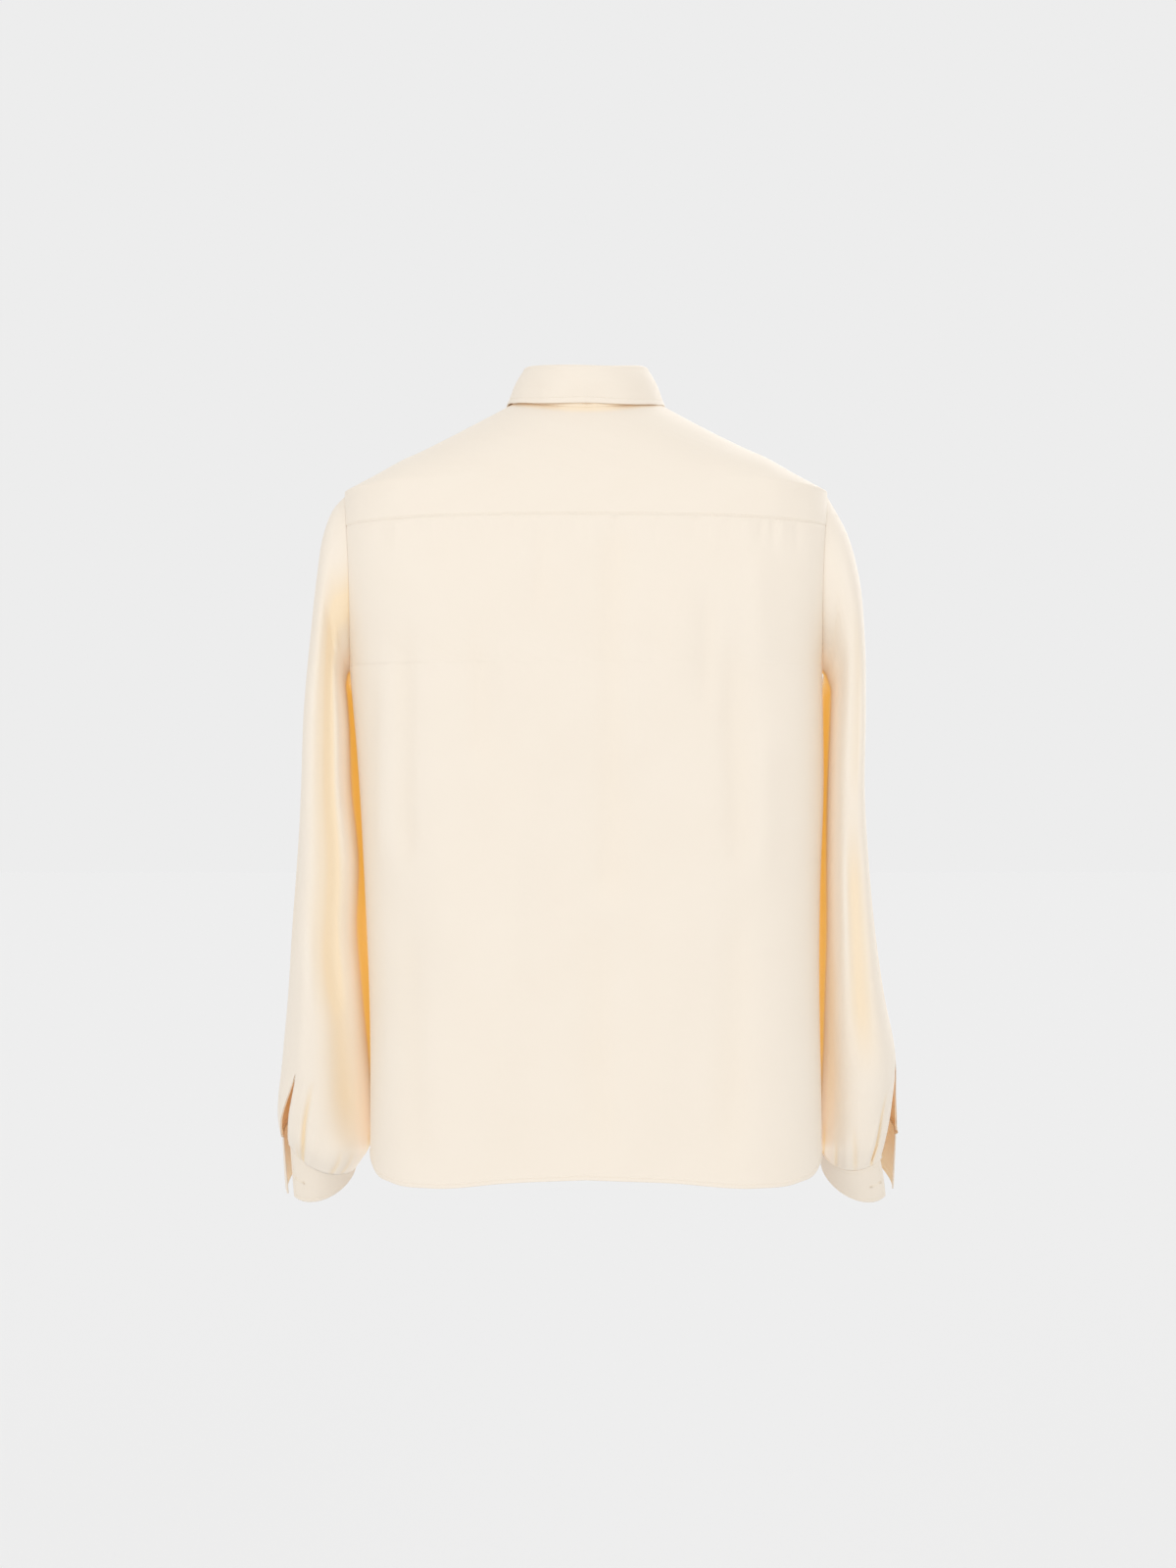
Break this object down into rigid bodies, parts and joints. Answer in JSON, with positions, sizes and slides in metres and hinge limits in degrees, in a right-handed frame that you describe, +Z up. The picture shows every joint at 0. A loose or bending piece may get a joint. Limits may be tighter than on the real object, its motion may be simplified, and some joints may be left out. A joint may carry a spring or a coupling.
{
  "type": "silk blouse",
  "caption": "Long-sleeved cream silk blouse, filled out with no wearer: button front, stand collar with its fall, back yoke, full sleeves gathered into open cuffs.",
  "frame": {"origin": "middle of the neck, level with the neck ends of the shoulder seams, where the wearer's neck and shoulders hold the blouse", "axes": "+Z up, -Y the way the wearer faces, +X the wearer's left"},
  "size_m": [0.5441, 0.2282, 0.7283],
  "materials": {
    "silk": "cream silk crepe de chine, matt with a soft sheen",
    "shell": "pale polished shell"
  },
  "bodies": {
    "root": {"back": "silk", "yoke": "silk", "left_front": "silk", "right_front": "silk", "collar_stand": "silk", "collar_fall": "silk", "left_sleeve": "silk", "right_sleeve": "silk", "left_cuff": "silk", "right_cuff": "silk", "left_placket": "silk", "right_placket": "silk", "neck_button": "shell", "front_button_1": "shell", "front_button_2": "shell", "front_button_3": "shell", "front_button_4": "shell", "front_button_5": "shell", "front_button_6": "shell", "left_cuff_button": "shell", "right_cuff_button": "shell"}
  },
  "joints": []
}
